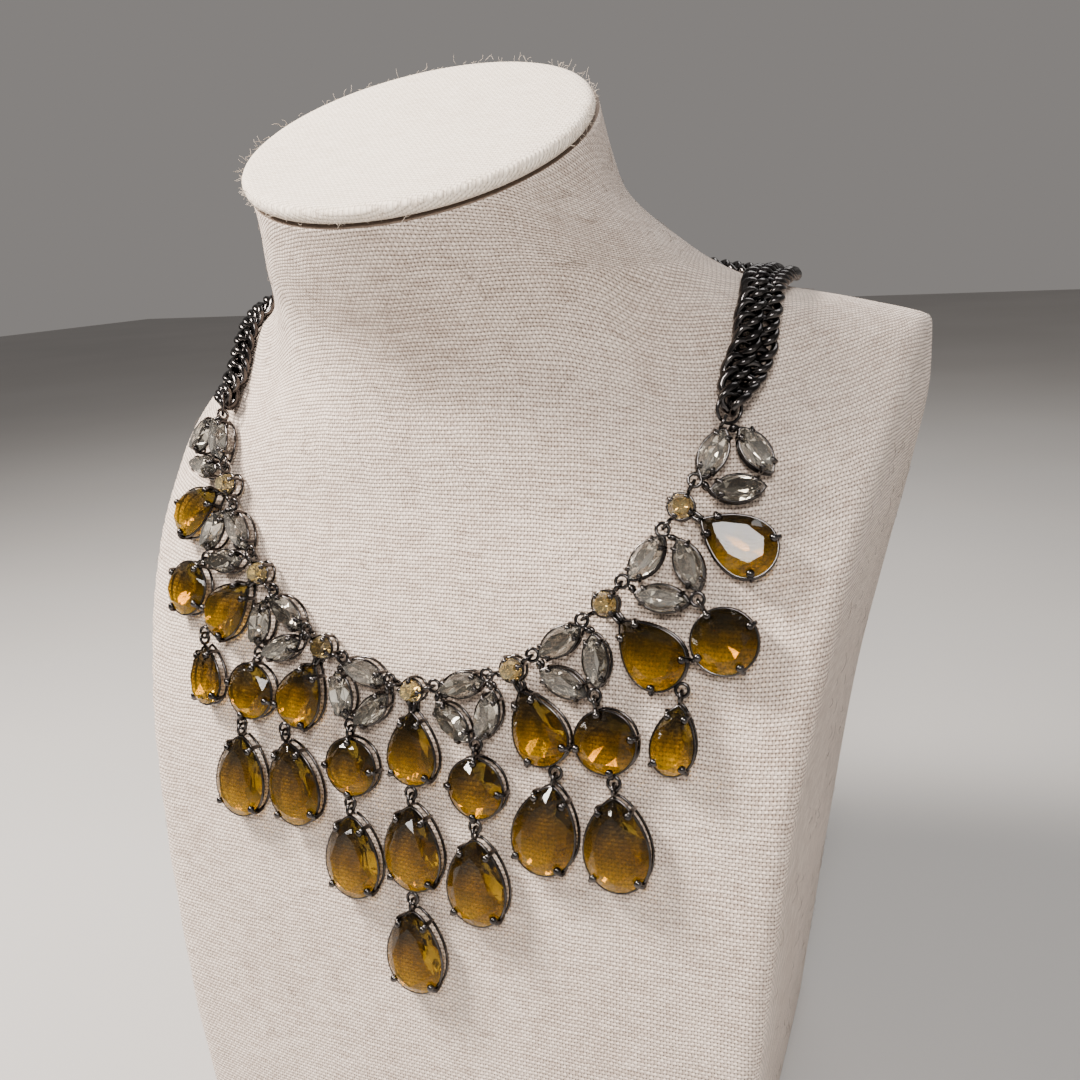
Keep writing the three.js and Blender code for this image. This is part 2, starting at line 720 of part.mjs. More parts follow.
// A plain plate with a hole at each end, at the nape.
function claspGeometry() {
  const round = claspWidth / 2;
  const straight = claspLength / 2 - round;
  const outline = new THREE.Shape();
  outline.absarc(straight, 0, round, -Math.PI / 2, Math.PI / 2);
  outline.absarc(-straight, 0, round, Math.PI / 2, 1.5 * Math.PI);
  [-1, 1].forEach((side) => {
    const hole = new THREE.Path();
    const inset = claspWall + claspBore / 2;
    hole.absarc(side * (claspLength / 2 - inset), 0, claspBore / 2, 0, 2 * Math.PI);
    outline.holes.push(hole);
  });
  const plate = new THREE.ExtrudeGeometry(outline, {
    depth: claspThickness,
    bevelEnabled: false,
    curveSegments: claspSides,
  });
  plate.translate(0, 0, -claspThickness / 2);
  const face = seat(nape).normal;
  const up = face.clone().cross(X_AXIS);
  plate.applyMatrix4(new THREE.Matrix4().makeBasis(X_AXIS, up, face).setPosition(nape));
  return geometryOf(solid(plate));
}

const object = new THREE.Group();
object.add(named("bust_body", bustBodyGeometry(), linen));
object.add(named("bust_cap", bustCapGeometry(), linen));
addStation(object, 0, "");

const rightSide = new THREE.Group();
const leftSide = new THREE.Group();
leftSide.scale.x = -1;
object.add(rightSide, leftSide);
[
  [rightSide, "_right"],
  [leftSide, "_left"],
].forEach(([side, suffix]) => {
  [1, 2, 3].forEach((i) => addStation(side, i, suffix));
  [0, 1, 2, 3].forEach((i) => addCluster(side, i, suffix));
  side.add(named("end_ring" + suffix, endRingGeometry(), metal));
  side.add(named("chain" + suffix, chainGeometry(chainRoutes[suffix]), metal));
});
object.add(named("clasp", claspGeometry(), metal));

export default object;
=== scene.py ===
import math
import random

import bpy
import numpy as np
from mathutils import Matrix, Vector


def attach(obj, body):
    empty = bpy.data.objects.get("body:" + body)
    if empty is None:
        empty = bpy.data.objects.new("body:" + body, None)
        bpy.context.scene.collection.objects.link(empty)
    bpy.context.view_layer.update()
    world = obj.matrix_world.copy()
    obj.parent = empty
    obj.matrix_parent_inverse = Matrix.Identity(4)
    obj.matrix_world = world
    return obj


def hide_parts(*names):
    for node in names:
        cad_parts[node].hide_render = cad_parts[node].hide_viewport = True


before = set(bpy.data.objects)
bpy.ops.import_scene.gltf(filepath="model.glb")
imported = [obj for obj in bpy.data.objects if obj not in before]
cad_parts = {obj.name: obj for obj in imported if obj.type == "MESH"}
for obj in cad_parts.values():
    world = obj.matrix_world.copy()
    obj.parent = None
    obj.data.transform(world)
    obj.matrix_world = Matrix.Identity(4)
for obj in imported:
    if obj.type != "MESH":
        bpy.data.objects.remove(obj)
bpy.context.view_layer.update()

MM = 0.001

# Sizes in millimetres, the same as the solids' own.
BUST_HEIGHT = 220.3
SHOULDER_WIDTH = 177
BUST_DEPTH = 102.2
CAP_WIDTH = 71.8
CAP_DEPTH = 56
CAP_THICKNESS = 3.4
CAP_TILT = 30.8
CAP_FORWARD = 23.5
SEAM_GAP = 0.35

# kind, length, width and taper: 0 for an oval, 1 for a pear with a sharp tip
LONG_PEAR = ("pear", 18, 13, 0.45)
SHORT_PEAR = ("pear", 15, 11, 0.8)
SMALL_PEAR = ("pear", 13, 8, 0.6)
ROUND_STONE = ("round", 12, 12, 0)
LEAF_STONE = ("leaf", 10, 5, 0)
TINY_STONE = ("round", 4.8, 4.8, 0)

RAIL_WIRE = 0.6
RAIL_OVERHANG = 0.3
UPPER_RAIL = 2.4
CROWN_RISE = 2.5
LOOP_WIRE = 0.7
LOOP_RADIUS = 1.2
LINK_STEP = 1.3
LOOP_REACH = 1.3
END_RING_RADIUS = 2.65
END_RING_TURN = 30

NECKLINE_HEIGHT = 117.4
SPACER_REACH = 4.05
CLUSTER_SPAN = 12
CLUSTER_DROP = 12.8
CLUSTER_PITCH = 7.8
CLUSTER_MIDDLE = -5.4
SOLDERED_PEAR_DROP = 11.9
SEAT_GAP = 0.8
LOOP_LEVEL = SEAT_GAP + UPPER_RAIL

CHAIN_WIDTH = 9.2
CHAIN_THICKNESS = 2.8
CHAIN_GAP = 0.9
CHAIN_LOOP_RADIUS = 1.85
CHAIN_LOOP_WIRE = 1.1
CLASP_LENGTH = 13
CLASP_WIDTH = 6
CLASP_THICKNESS = 1.2
CLASP_BORE = 3.2
CLASP_WALL = 1.5

# height, half width, front, half depth and squareness of each section of the bust, as shares
BUST_SECTIONS = np.array([
    (0, 1.118, -0.5, 0.838, 2.13),
    (0.0635, 1.121, -0.498, 0.829, 2.22),
    (0.2539, 1.13, -0.463, 0.774, 2.49),
    (0.4134, 1.103, -0.419, 0.738, 2.63),
    (0.5268, 0.964, -0.375, 0.759, 2.4),
    (0.6169, 0.819, -0.333, 0.798, 2.23),
    (0.6994, 0.686, -0.303, 0.857, 2.06),
    (0.7622, 0.593, -0.304, 0.877, 1.84),
    (0.8035, 0.537, -0.323, 0.821, 1.6),
    (0.8354, 0.429, -0.352, 0.661, 1.55),
    (0.8626, 0.316, -0.385, 0.52, 1.68),
    (0.8991, 0.254, -0.425, 0.421, 1.91),
    (0.9582, 0.204, -0.486, 0.336, 2.05),
    (1.0764, 0.197, -0.575, 0.288, 2.19),
])

# height, front half width and back half width of the side walls, as shares
SIDE_WALL = np.array([
    (0, 0.37, 0.343),
    (0.0635, 0.379, 0.353),
    (0.2539, 0.405, 0.384),
    (0.4312, 0.425, 0.416),
    (0.5718, 0.446, 0.453),
    (0.6628, 0.457, 0.479),
    (0.7669, 0.468, 0.5),
    (0.826, 0.497, 0.499),
    (1.142, 0.497, 0.495),
])

NECKLINE_HEADINGS = [17, 38.5, 55, 64]

CHAIN_ROUTES = {
    "_right": [
        (0.344, -0.07, 0.812),
        (0.346, -0.035, 0.844),
        (0.336, 0.07, 0.862),
        (0.328, 0.24, 0.865),
        (0.305, 0.42, 0.86),
        (0.23, 0.475, 0.868),
        (0.12, 0.475, 0.882),
    ],
    "_left": [
        (0.345, -0.085, 0.79),
        (0.34, -0.03, 0.822),
        (0.33, 0.07, 0.855),
        (0.325, 0.24, 0.865),
        (0.305, 0.42, 0.86),
        (0.23, 0.475, 0.868),
        (0.12, 0.475, 0.882),
    ],
}
NAPE_BACK = 0.47
NAPE_HEIGHT = 0.885

X = np.array([1.0, 0, 0])
Z = np.array([0, 0, 1.0])
MIRROR = np.diag([-1.0, 1, 1, 1])


# Bust surface.
def table_curve(x, y):
    """Monotone cubic through the rows of a table."""
    slope = np.diff(y) / np.diff(x)
    tangent = np.empty(len(y))
    tangent[0], tangent[-1] = slope[0], slope[-1]
    for i in range(1, len(y) - 1):
        flat = slope[i - 1] * slope[i] <= 0
        tangent[i] = 0 if flat else 2 / (1 / slope[i - 1] + 1 / slope[i])
    x, y, tangent = x.tolist(), y.tolist(), tangent.tolist()

    def value(at):
        k = 0
        while k < len(x) - 2 and at >= x[k + 1]:
            k += 1
        h = x[k + 1] - x[k]
        t = (at - x[k]) / h
        t2, t3 = t * t, t * t * t
        return (
            (2 * t3 - 3 * t2 + 1) * y[k]
            + (t3 - 2 * t2 + t) * h * tangent[k]
            + (3 * t2 - 2 * t3) * y[k + 1]
            + (t3 - t2) * h * tangent[k + 1]
        )

    return value


section_curves = [table_curve(BUST_SECTIONS[:, 0], BUST_SECTIONS[:, c]) for c in range(1, 5)]
wall_curves = [table_curve(SIDE_WALL[:, 0], SIDE_WALL[:, c]) for c in (1, 2)]


def bust_section(z):
    half_width, front, half_depth, power = (curve(z / BUST_HEIGHT) for curve in section_curves)
    half_depth *= BUST_DEPTH
    return half_width * SHOULDER_WIDTH, front * BUST_DEPTH + half_depth, half_depth, power


def bust_field(p):
    half_width, middle, half_depth, power = bust_section(p[2])
    across = abs(p[0] / half_width) ** power
    along = abs((p[1] - middle) / half_depth) ** power
    return (across + along) ** (1 / power) - 1


def bust_gradient(p):
    step = 0.05
    ahead = [bust_field(p + step * axis) for axis in np.eye(3)]
    behind = [bust_field(p - step * axis) for axis in np.eye(3)]
    return (np.array(ahead) - np.array(behind)) / (2 * step)


def unit(v):
    return v / np.linalg.norm(v)


def seat(point):
    """The nearest point on the linen and the outward normal there."""
    p = np.array(point, float)
    for _ in range(8):
        g = bust_gradient(p)
        p = p - bust_field(p) * g / (g @ g)
    return p, unit(bust_gradient(p))


def on_linen(point, height=LOOP_LEVEL):
    p, normal = seat(point)
    return p + height * normal


# Places of the pieces, worked out as the solids' are.
def place_at(point, up, normal):
    outward = unit(normal - (normal @ up) * up)
    place = np.eye(4)
    place[:3, :3] = np.column_stack([np.cross(up, outward), up, outward])
    place[:3, 3] = point - UPPER_RAIL * outward
    return place


def towards(a, b):
    return unit(b - a)


def at(matrix, point):
    return (matrix @ np.append(point, 1))[:3]


def plumb(normal, lean):
    way = np.array([math.sin(math.radians(lean)), 0, -math.cos(math.radians(lean))])
    return unit(way - (way @ normal) * normal)


def step_along(start, heading, step):
    level = np.array([math.cos(math.radians(heading)), 0, math.sin(math.radians(heading))])
    normal = seat(start)[1]
    ahead = unit(level - (level @ normal) * normal)
    return start + step * towards(start, on_linen(start + step * ahead))


def edge_of(stone):
    return stone[1] / 2 + RAIL_OVERHANG


CLUSTER_STEP = SPACER_REACH + LINK_STEP + CLUSTER_SPAN / 2
END_STEP = END_RING_RADIUS + LOOP_RADIUS - LOOP_WIRE - 0.4

small_stones = [on_linen((0, -BUST_DEPTH / 2, NECKLINE_HEIGHT))]
cluster_middles = []
for heading in NECKLINE_HEADINGS:
    cluster_middles.append(step_along(small_stones[-1], heading, CLUSTER_STEP))
    last = heading == NECKLINE_HEADINGS[-1]
    step = CLUSTER_SPAN / 2 + END_STEP if last else CLUSTER_STEP
    small_stones.append(step_along(cluster_middles[-1], heading, step))


def cluster_frame(i):
    middle = cluster_middles[i]
    along = towards(small_stones[i], small_stones[i + 1])
    across = unit(np.cross(along, seat(middle)[1]))
    face = seat(middle + across * CLUSTER_DROP / 2)[1]
    face = unit(face - (face @ along) * along)
    up = np.cross(face, along)
    return {
        "place": place_at(middle, up, face),
        "along": along,
        "face": face,
        "inner": middle - along * CLUSTER_SPAN / 2,
        "outer": middle + along * CLUSTER_SPAN / 2,
    }


cluster_frames = [cluster_frame(i) for i in range(4)]
neck_end = cluster_frames[3]
end_ring_centre = neck_end["outer"] + END_STEP * neck_end["along"]


# Mesh making. A shape is a list of corners and a list of faces, in millimetres.
def turned(angle, axis="Z"):
    return np.array(Matrix.Rotation(math.radians(angle), 4, axis))


def moved(x, y, z=0.0):
    matrix = np.eye(4)
    matrix[:3, 3] = (x, y, z)
    return matrix


def transform(shape, matrix):
    corners, faces = shape
    corners = np.asarray(corners, float) @ matrix[:3, :3].T + matrix[:3, 3]
    if np.linalg.det(matrix[:3, :3]) < 0:
        faces = [face[::-1] for face in faces]
    return corners, faces


def joined(shapes):
    corners, faces, start = [], [], 0
    for some_corners, some_faces in shapes:
        corners.append(np.asarray(some_corners, float))
        faces += [[start + i for i in face] for face in some_faces]
        start += len(some_corners)
    return np.vstack(corners), faces


def grid_faces(rows, columns, closed_rows=False, closed_columns=True):
    faces = []
    for i in range(rows if closed_rows else rows - 1):
        for j in range(columns if closed_columns else columns - 1):
            a, b = i * columns + j, i * columns + (j + 1) % columns
            c, d = (i + 1) % rows * columns + (j + 1) % columns, (i + 1) % rows * columns + j
            faces.append([a, b, c, d])
    return faces


def tube(points, radius, sides=8, closed=False, up=Z, widths=None):
    """Round wire along points, its rings kept square to a steady direction."""
    points = np.asarray(points, float)
    if closed:
        ways = np.roll(points, -1, 0) - np.roll(points, 1, 0)
    else:
        ways = np.gradient(points, axis=0)
    corners = []
    side = None
    for i, (point, way) in enumerate(zip(points, ways)):
        way = unit(way)
        if side is None or closed:
            side = np.cross(way, up)
            if np.linalg.norm(side) < 1e-3:
                side = np.cross(way, X)
        side = unit(side - (side @ way) * way)
        other = np.cross(side, way)
        r = radius if widths is None else radius * widths[i]
        for k in range(sides):
            turn = 2 * math.pi * k / sides
            corners.append(point + r * (math.cos(turn) * side + math.sin(turn) * other))
    faces = grid_faces(len(points), sides, closed_rows=closed)
    if not closed:
        faces.append(list(range(sides))[::-1])
        faces.append([(len(points) - 1) * sides + k for k in range(sides)])
    return np.array(corners), faces


def ring(radius, wire, segments=24, sides=8):
    turns = np.linspace(0, 2 * math.pi, segments, endpoint=False)
    points = np.column_stack([radius * np.cos(turns), radius * np.sin(turns), 0 * turns])
    return tube(points, wire / 2, sides, closed=True)


def ball(centre, radius, stretch=(1, 1, 1), rings=6, sides=10):
    corners = [np.array([0, 0, -1.0])]
    for i in range(1, rings):
        polar = math.pi * i / rings - math.pi / 2
        for k in range(sides):
            turn = 2 * math.pi * k / sides
            corners.append(np.array([
                math.cos(polar) * math.cos(turn), math.cos(polar) * math.sin(turn), math.sin(polar),
            ]))
    corners.append(np.array([0, 0, 1.0]))
    faces = [[0, 1 + (k + 1) % sides, 1 + k] for k in range(sides)]
    for i in range(rings - 2):
        for k in range(sides):
            a, b = 1 + i * sides + k, 1 + i * sides + (k + 1) % sides
            faces.append([a, b, b + sides, a + sides])
    top, start = len(corners) - 1, 1 + (rings - 2) * sides
    faces += [[start + k, start + (k + 1) % sides, top] for k in range(sides)]
    return np.array(corners) * radius * np.array(stretch) + np.array(centre), faces


def make_object(name, shape, material, smooth=True, replaces=()):
    corners, faces = shape
    mesh = bpy.data.meshes.new(name)
    mesh.from_pydata([tuple(c) for c in np.asarray(corners) * MM], [], faces)
    mesh.validate()
    if smooth:
        mesh.polygons.foreach_set("use_smooth", [True] * len(mesh.polygons))
    mesh.materials.append(material)
    obj = bpy.data.objects.new(name, mesh)
    bpy.context.scene.collection.objects.link(obj)
    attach(obj, "root")
    if replaces:
        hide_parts(*replaces)
    return obj


# Materials.
class Graph:
    """A material's node tree, with short ways to add nodes."""

    def __init__(self, name):
        self.material = bpy.data.materials.new(name)
        self.material.use_nodes = True
        self.tree = self.material.node_tree
        self.shader = self.tree.nodes["Principled BSDF"]

    def node(self, kind, inputs=(), **settings):
        node = self.tree.nodes.new(kind)
        for key, value in settings.items():
            setattr(node, key, value)
        for key, value in dict(inputs).items():
            self.put(node.inputs[key], value)
        return node

    def put(self, socket, value):
        if isinstance(value, bpy.types.NodeSocket):
            self.tree.links.new(value, socket)
        else:
            socket.default_value = value

    def math(self, operation, *values, clamp=False):
        node = self.tree.nodes.new("ShaderNodeMath")
        node.operation = operation
        node.use_clamp = clamp
        for socket, value in zip(node.inputs, values):
            self.put(socket, value)
        return node.outputs[0]

    def ramp(self, factor, stops):
        node = self.node("ShaderNodeValToRGB", {"Fac": factor})
        while len(node.color_ramp.elements) < len(stops):
            node.color_ramp.elements.new(0.5)
        for element, (place, colour) in zip(node.color_ramp.elements, stops):
            element.position = place
            element.color = (*colour, 1)
        return node.outputs["Color"]

    def noise(self, vector, scale, detail=2.0, roughness=0.5):
        inputs = {"Vector": vector, "Scale": scale, "Detail": detail, "Roughness": roughness}
        return self.node("ShaderNodeTexNoise", inputs).outputs["Fac"]

    def mix(self, factor, a, b, blend="MIX"):
        node = self.tree.nodes.new("ShaderNodeMix")
        node.data_type = "RGBA"
        node.blend_type = blend
        self.put(node.inputs["Factor"], factor)
        self.put(node.inputs[6], a)
        self.put(node.inputs[7], b)
        return node.outputs[2]

    def bump(self, height, distance, strength=1.0, normal=None):
        inputs = {"Height": height, "Distance": distance, "Strength": strength}
        if normal is not None:
            inputs["Normal"] = normal
        return self.node("ShaderNodeBump", inputs).outputs["Normal"]

    def set(self, **inputs):
        for key, value in inputs.items():
            self.put(self.shader.inputs[key.replace("_", " ")], value)
        return self.material


def linen_material(name, across, along, light, dark, gap_shade_depth, bump_mm):
    """Plain weave whose level yarns are the thicker ones, from a map in millimetres of cloth.

    across and along are the pitches of the plumb and of the level yarns.
    """
    g = Graph(name)
    cloth = g.node("ShaderNodeUVMap", uv_map="cloth").outputs["UV"]
    wander = g.node("ShaderNodeTexNoise", {"Vector": cloth, "Scale": 0.12, "Detail": 3.0})
    drift = g.node("ShaderNodeVectorMath", {0: wander.outputs["Color"], 1: (0.5, 0.5, 0.5)},
                   operation="SUBTRACT").outputs[0]
    drift = g.node("ShaderNodeVectorMath", {0: drift, "Scale": 1.2}, operation="SCALE").outputs[0]
    bent = g.node("ShaderNodeVectorMath", {0: cloth, 1: drift}, operation="ADD").outputs[0]
    split = g.node("ShaderNodeSeparateXYZ", {0: bent})
    rows = g.node("ShaderNodeMapping", {"Vector": bent, "Scale": (0.16, 1 / along, 1)}).outputs[0]
    slub = g.noise(rows, 1.0, 2.0, 0.6)
    columns = g.node("ShaderNodeMapping", {"Vector": bent, "Scale": (1 / across, 0.16, 1)}).outputs[0]
    slub_across = g.noise(columns, 1.0, 2.0, 0.6)
    fibre = g.noise(cloth, 4.0, 4.0, 0.7)
    blotch = g.noise(cloth, 0.03, 2.0)

    warp = g.math("SINE", g.math("MULTIPLY", split.outputs["X"], math.pi / across))
    weft = g.math("SINE", g.math("MULTIPLY", split.outputs["Y"], math.pi / along))
    crossing = g.math("MULTIPLY", warp, g.math("SIGN", weft))
    cover = g.node("ShaderNodeMapRange", {"Value": crossing, "From Min": -0.5, "From Max": 0.4},
                   interpolation_type="SMOOTHSTEP").outputs[0]
    warp, weft = g.math("ABSOLUTE", warp), g.math("ABSOLUTE", weft)
    level = g.math("MULTIPLY", cover, g.math("POWER", weft, 0.5))
    under = g.math("MULTIPLY", g.math("SUBTRACT", 1.0, cover), g.math("POWER", weft, 0.3))
    height = g.math("ADD", level, g.math("MULTIPLY", under, 0.42))
    hole = g.math("MULTIPLY", g.math("SUBTRACT", 1.0, warp), g.math("SUBTRACT", 1.0, weft))
    thin = g.math("SUBTRACT", 1.25, g.math("ADD", g.math("MULTIPLY", slub, 0.8), g.math("MULTIPLY", fibre, 0.6)))
    hole = g.math("MULTIPLY", hole, g.math("MULTIPLY", thin, 2.0))

    yarn = g.math("ADD", g.math("MULTIPLY", slub, 0.6), g.math("MULTIPLY", slub_across, 0.4))
    tone = g.math("ADD", g.math("MULTIPLY", yarn, 0.6), g.math("MULTIPLY", fibre, 0.25))
    tone = g.math("ADD", tone, g.math("MULTIPLY", blotch, 0.15))
    colour = g.ramp(tone, [(0.42, dark), (0.55, light)])
    # Painted shade: the low parts of the weave and the holes between the yarns are mixed towards a dark brown, as
    # the shade that falls between the threads.
    trough_shade = g.math("MULTIPLY", g.math("SUBTRACT", 1.0, height), 0.7 * gap_shade_depth)
    pit_shade = g.ramp(hole, [(0.1, (0, 0, 0)), (0.42, (gap_shade_depth,) * 3)])
    painted_gap_shade = g.math("MAXIMUM", trough_shade, pit_shade)
    colour = g.mix(painted_gap_shade, colour, (0.13, 0.09, 0.065, 1))
    relief = g.math("ADD", height, g.math("MULTIPLY", yarn, 0.7))
    relief = g.math("ADD", relief, g.math("MULTIPLY", fibre, 0.45))
    g.set(Base_Color=colour, Normal=g.bump(relief, bump_mm * MM), Roughness=0.92)
    g.shader.inputs["Specular IOR Level"].default_value = 0.25
    g.shader.inputs["Sheen Weight"].default_value = 0.2
    g.shader.inputs["Sheen Roughness"].default_value = 0.5
    return g.material


def metal_material():
    g = Graph("black_plating")
    spot = g.node("ShaderNodeTexCoord").outputs["Object"]
    smudge = g.noise(spot, 900.0, 3.0)
    wear = g.noise(spot, 300.0, 2.0)
    colour = g.ramp(wear, [(0.35, (0.035, 0.032, 0.032)), (0.7, (0.1, 0.092, 0.088))])
    rough = g.node("ShaderNodeMapRange", {"Value": smudge, "To Min": 0.12, "To Max": 0.25}).outputs[0]
    g.set(Base_Color=colour, Roughness=rough, Normal=g.bump(smudge, 0.00002, 0.4))
    g.shader.inputs["Metallic"].default_value = 1.0
    return g.material


def stone_material(name, stops, facet_reflection_tones, mirror, glass, ior):
    """Cut glass in its own colour, painted darker at its top as painted shade and brighter below as painted light
    gathered in the stone, each facet painted a random shade as painted reflections.

    mirror is how much of a back facet is bright backing, glass how clear the stone is from its
    bottom to its top. A low ior keeps the reflection of the pale floor off its face.
    """
    g = Graph(name)
    spot = g.node("ShaderNodeAttribute", attribute_name="spot").outputs["Vector"]
    tone = g.node("ShaderNodeAttribute", attribute_name="tone").outputs["Fac"]
    back = g.node("ShaderNodeAttribute", attribute_name="back").outputs["Fac"]
    cloud = g.noise(spot, 2.2, 3.0)
    # level runs from the stone's bottom (0) to its top (1) as the bust stands: painted light below, painted shade
    # above.
    height = g.node("ShaderNodeSeparateXYZ", {0: spot}).outputs["Y"]
    level = g.math("ADD", g.math("MULTIPLY", height, 0.5), 0.5)
    level = g.math("ADD", level, g.math("MULTIPLY", g.math("SUBTRACT", cloud, 0.5), 0.3))
    level = g.math("ADD", level, g.math("MULTIPLY", g.math("SUBTRACT", tone, 0.5), 0.2))
    colour = g.ramp(level, stops)
    # Painted reflections: each facet a random shade, from dark to bright, as the flashes of light that cut glass
    # gives back.
    facet_reflection_paint = g.ramp(tone, facet_reflection_tones)
    clearness = g.node("ShaderNodeMapRange", {"Value": level, "To Min": glass[0], "To Max": glass[1]})
    g.set(
        Base_Color=g.mix(1.0, colour, facet_reflection_paint, "MULTIPLY"),
        Metallic=g.math("MULTIPLY", g.math("MULTIPLY", back, tone), mirror),
        Transmission_Weight=clearness.outputs[0],
    )
    g.shader.inputs["Roughness"].default_value = 0.02
    g.shader.inputs["IOR"].default_value = ior
    return g.material


linen = linen_material("bust_linen", 0.62, 0.8, (1.0, 0.84, 0.72), (0.68, 0.54, 0.45), 0.95, 0.26)
fine_linen = linen_material("cap_linen", 0.55, 0.65, (1.0, 0.88, 0.74), (0.86, 0.74, 0.61), 0.5, 0.16)
metal = metal_material()
# Each stone's own colour, painted bright at its bottom and dark at its top as painted light and shade; the second
# list gives the facets' painted reflections.
amber = stone_material(
    "amber_glass",
    [(0.0, (0.74, 0.48, 0.01)), (0.28, (0.56, 0.33, 0.008)), (0.52, (0.24, 0.14, 0.01)),
     (0.75, (0.09, 0.068, 0.03)), (1.0, (0.06, 0.05, 0.036))],
    [(0.0, (0.45, 0.43, 0.4)), (0.6, (1, 1, 1))],
    0.5,
    (0.84, 0.97),
    1.27,
)
clear = stone_material(
    "clear_glass",
    [(0.0, (1.0, 0.99, 0.95)), (0.5, (0.95, 0.93, 0.89)), (1.0, (0.8, 0.77, 0.72))],
    [(0.0, (0.07, 0.06, 0.05)), (0.3, (0.5, 0.48, 0.44)), (0.55, (1, 0.99, 0.96))],
    1.5,
    (0.92, 0.97),
    1.5,
)
champagne = stone_material(
    "champagne_glass",
    [(0.0, (1.0, 0.9, 0.58)), (0.6, (1.0, 0.84, 0.48)), (1.0, (0.85, 0.7, 0.42))],
    [(0.0, (0.12, 0.1, 0.06)), (0.4, (0.65, 0.58, 0.42)), (0.65, (1, 1, 1))],
    1.5,
    (0.88, 0.95),
    1.5,
)


# Bust: the same surface as the solid, fine and with its cloth edges rounded.
AROUND = 320
EDGE_ROUND = 2.4


def soft_max(a, b, size):
    return 0.5 * (a + b + np.sqrt((a - b) ** 2 + size**2))


def bust_radius(z, turn):
    """Distance from a section's middle to the cloth, for arrays of turns and heights."""
    z = np.broadcast_to(z, turn.shape)
    half_width, middle, half_depth, power = np.array([bust_section(h) for h in z]).T
    wall = np.array([[curve(h / BUST_HEIGHT) * SHOULDER_WIDTH for curve in wall_curves] for h in z])
    front = middle - half_depth
    centre = (front + np.minimum(middle + half_depth, BUST_DEPTH / 2)) / 2
    low, high = np.zeros(turn.shape), np.full(turn.shape, 260.0)
    for _ in range(34):
        r = (low + high) / 2
        x, y = r * np.sin(turn), centre - r * np.cos(turn)
        ratio = (np.abs(x / half_width) ** power + np.abs((y - middle) / half_depth) ** power) ** (1 / power)
        form = r * (1 - 1 / np.maximum(ratio, 1e-6))
        share = np.clip(y / BUST_DEPTH + 0.5, 0, 1)
        side = np.abs(x) - (wall[:, 0] * (1 - share) + wall[:, 1] * share)
        back = y - BUST_DEPTH / 2
        outside = soft_max(soft_max(form, side, EDGE_ROUND), back, EDGE_ROUND) > 0
        high = np.where(outside, r, high)
        low = np.where(outside, low, r)
    r = (low + high) / 2
    return np.column_stack([r * np.sin(turn), centre - r * np.cos(turn), z])


cap_normal = turned(CAP_TILT, "X")[:3, :3] @ Z
cap_middle = np.array([0, -CAP_FORWARD, BUST_HEIGHT])
turns = 2 * math.pi * np.arange(AROUND) / AROUND

neck_top = np.full(AROUND, BUST_HEIGHT - 5.0)
plane_point = cap_middle - cap_normal * (CAP_THICKNESS / 2 + SEAM_GAP)
for _ in range(12):
    edge = bust_radius(neck_top, turns)
    neck_top = neck_top - (edge - plane_point) @ cap_normal / cap_normal[2]

LEVEL_UP_TO = 186.0
levels = [np.full(AROUND, z) for z in np.concatenate([np.linspace(0, 134, 90), np.linspace(135, LEVEL_UP_TO, 66)])]
levels += [LEVEL_UP_TO + (neck_top - LEVEL_UP_TO) * t for t in np.linspace(0, 1, 34)[1:]]
rings = np.array([bust_radius(z, turns) for z in levels])
rows = len(rings)

corners = rings.reshape(-1, 3)
faces = grid_faces(rows, AROUND)
faces.append(list(range(AROUND))[::-1])
faces.append([(rows - 1) * AROUND + k for k in range(AROUND)])
bust = make_object("linen_bust", (corners, faces), linen, replaces=["bust_body"])

# The cloth's own map: millimetres along the level yarns from the front middle, and up from the base.
upward = np.vstack([np.zeros(AROUND), np.linalg.norm(np.diff(rings, axis=0), axis=2).cumsum(0)])
step_round = np.linalg.norm(np.roll(rings, -1, 1) - rings, axis=2)
half = AROUND // 2
right_arc = np.hstack([np.zeros((rows, 1)), step_round[:, :half].cumsum(1)])
left_arc = -np.hstack([np.zeros((rows, 1)), step_round[:, ::-1][:, :half].cumsum(1)])
cloth_map = bust.data.uv_layers.new(name="cloth")
values = np.zeros((len(bust.data.loops), 2))
loop_vertex = np.zeros(len(bust.data.loops), int)
bust.data.loops.foreach_get("vertex_index", loop_vertex)
for face in bust.data.polygons:
    if face.loop_total != 4:
        continue
    ids = loop_vertex[face.loop_start:face.loop_start + 4]
    row, column = ids // AROUND, ids % AROUND
    on_left = column.max() > half or (column.max() == half and column.min() != half - 1)
    for k in range(4):
        if on_left:
            back_steps = (AROUND - column[k]) % AROUND
            u = left_arc[row[k], back_steps]
        else:
            u = right_arc[row[k], column[k]]
        values[face.loop_start + k] = (u, upward[row[k], column[k]])
cloth_map.data.foreach_set("uv", values.ravel())

# Cap: cloth drawn over a disc, with a soft rim.
CAP_RINGS = [(0.0, 1.0), (0.25, 1.0), (0.5, 1.0), (0.75, 1.0), (0.93, 0.97), (0.965, 0.9), (0.985, 0.72),
             (0.998, 0.4), (1.0, 0.0), (0.998, -0.4), (0.98, -0.75), (0.95, -0.97), (0.8, -1.0), (0.0, -1.0)]
cap_corners = []
for share, high in CAP_RINGS[1:-1]:
    for turn in turns[::2]:
        cap_corners.append((
            share * CAP_WIDTH / 2 * math.sin(turn),
            -share * CAP_DEPTH / 2 * math.cos(turn),
            high * CAP_THICKNESS / 2,
        ))
count = AROUND // 2
cap_faces = [face[::-1] for face in grid_faces(len(CAP_RINGS) - 2, count)]
cap_corners += [(0, 0, CAP_THICKNESS / 2), (0, 0, -CAP_THICKNESS / 2)]
top, bottom = len(cap_corners) - 2, len(cap_corners) - 1
last_ring = (len(CAP_RINGS) - 3) * count
cap_faces += [[top, k, (k + 1) % count] for k in range(count)]
